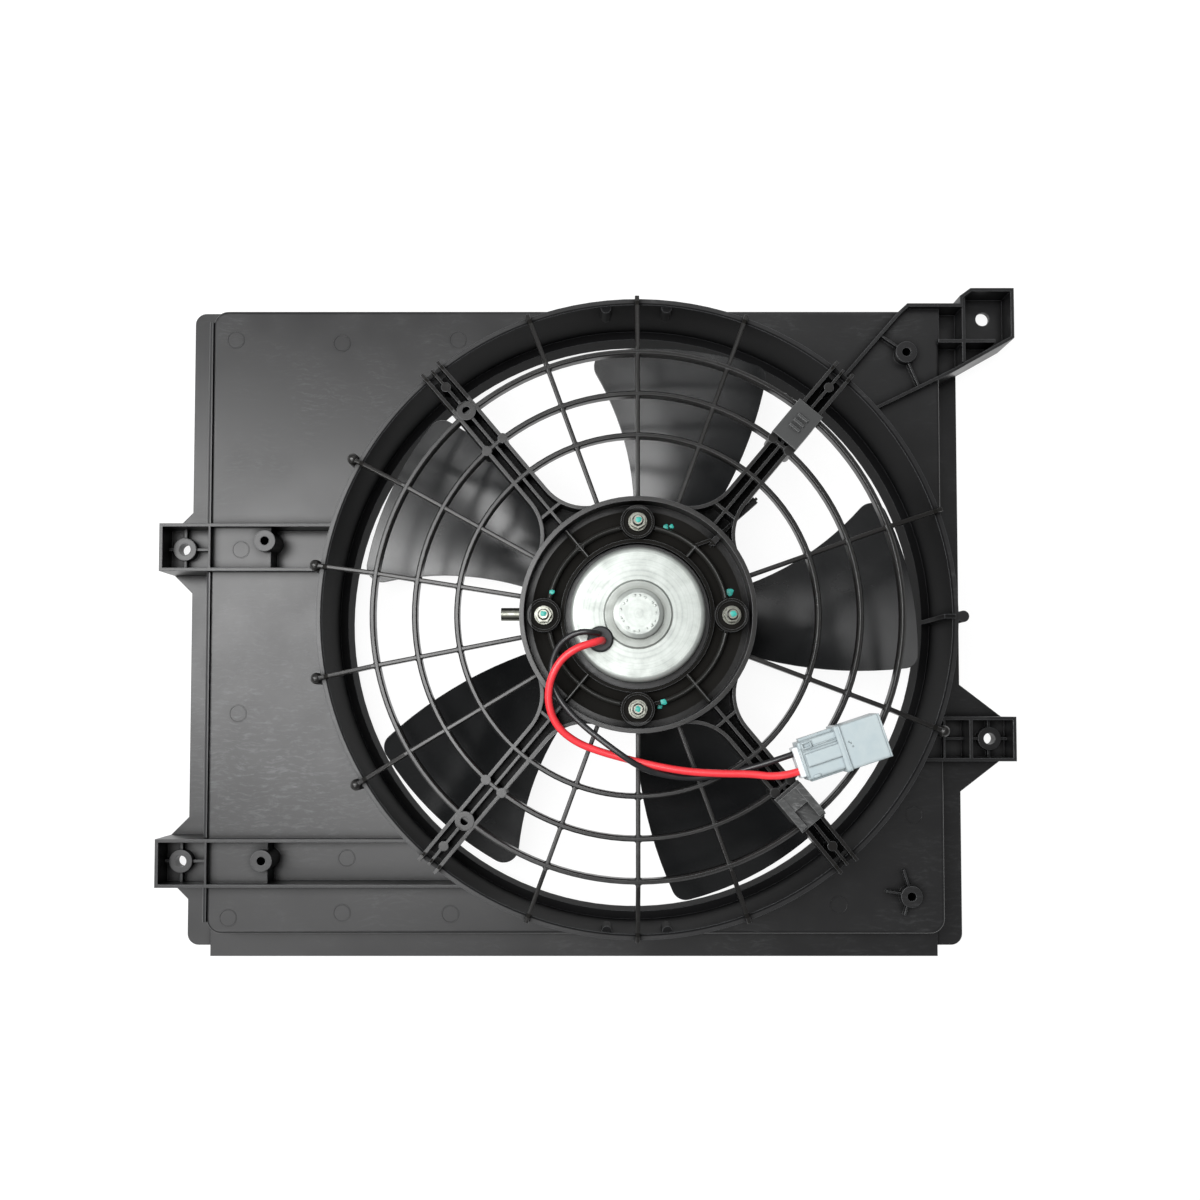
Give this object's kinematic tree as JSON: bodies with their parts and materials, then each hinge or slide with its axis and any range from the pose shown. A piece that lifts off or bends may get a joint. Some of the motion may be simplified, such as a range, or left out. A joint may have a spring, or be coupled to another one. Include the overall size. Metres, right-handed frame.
{
  "type": "condenser fan motor",
  "caption": "Condenser fan with a moulded shroud, finger guard, bladed fan, can motor with two leads and a plug, and side tabs for bolting to the condenser.",
  "frame": {"origin": "on the fan axis, in the plane of the rim that seats on the condenser", "axes": "+Z along the fan axis from the condenser towards the engine bay, +X to the right and +Y up as installed, seen from the engine bay"},
  "size_m": [0.523, 0.4123, 0.1023],
  "materials": {
    "black_moulding": "satin moulded black, lightly scuffed",
    "fan_plastic": "semi-gloss black",
    "clip_plastic": "worn dark grey",
    "zinc_steel": "pale zinc plating",
    "bracket_steel": "black dip paint",
    "bright_zinc": "bright zinc plating",
    "tube_steel": "drawn and plated tube",
    "grommet_rubber": "matt",
    "bearing_steel": "ground steel",
    "ferrite": "sintered, dull",
    "board": "laminate",
    "carbon": "graphite",
    "red_insulation": "extruded",
    "black_insulation": "extruded",
    "plug_plastic": "pale blue-grey moulding",
    "keeper_plastic": "off-white moulding",
    "seal_rubber": "soft",
    "tinned_copper": "tinned",
    "lamination": "stacked sheet",
    "enamelled_copper": "enamelled wire",
    "commutator_copper": "turned"
  },
  "bodies": {
    "frame": {"shroud": "black_moulding", "fan_guard": "black_moulding", "upper_arm_clip": "clip_plastic", "lower_arm_clip": "clip_plastic", "motor_can": "zinc_steel", "motor_front_cover": "zinc_steel", "mounting_bracket": "bracket_steel", "mounting_studs": "bright_zinc", "flange_nuts": "bright_zinc", "breather_tube": "tube_steel", "lead_grommet": "grommet_rubber", "front_bearing": "bearing_steel", "rear_bearing": "bearing_steel", "field_magnets": "ferrite", "brush_holder": "board", "upper_brush": "carbon", "lower_brush": "carbon", "upper_brush_spring": "bearing_steel", "lower_brush_spring": "bearing_steel", "red_lead": "red_insulation", "black_lead": "black_insulation", "connector_housing": "plug_plastic", "connector_keeper": "keeper_plastic", "wire_seals": "seal_rubber", "contact_blades": "tinned_copper"},
    "rotor": {"fan": "fan_plastic", "fan_washer": "bright_zinc", "fan_nut": "bright_zinc", "rotor_shaft": "bearing_steel", "armature_core": "lamination", "armature_windings": "enamelled_copper", "commutator": "commutator_copper", "front_thrust_washer": "board", "rear_thrust_washer": "board"}
  },
  "joints": [
    {"name": "fan_spin", "type": "hinge", "parent": "frame", "child": "rotor", "pos_m": [0, 0, 0.04], "axis": [0, 0, 1], "continuous": true}
  ]
}
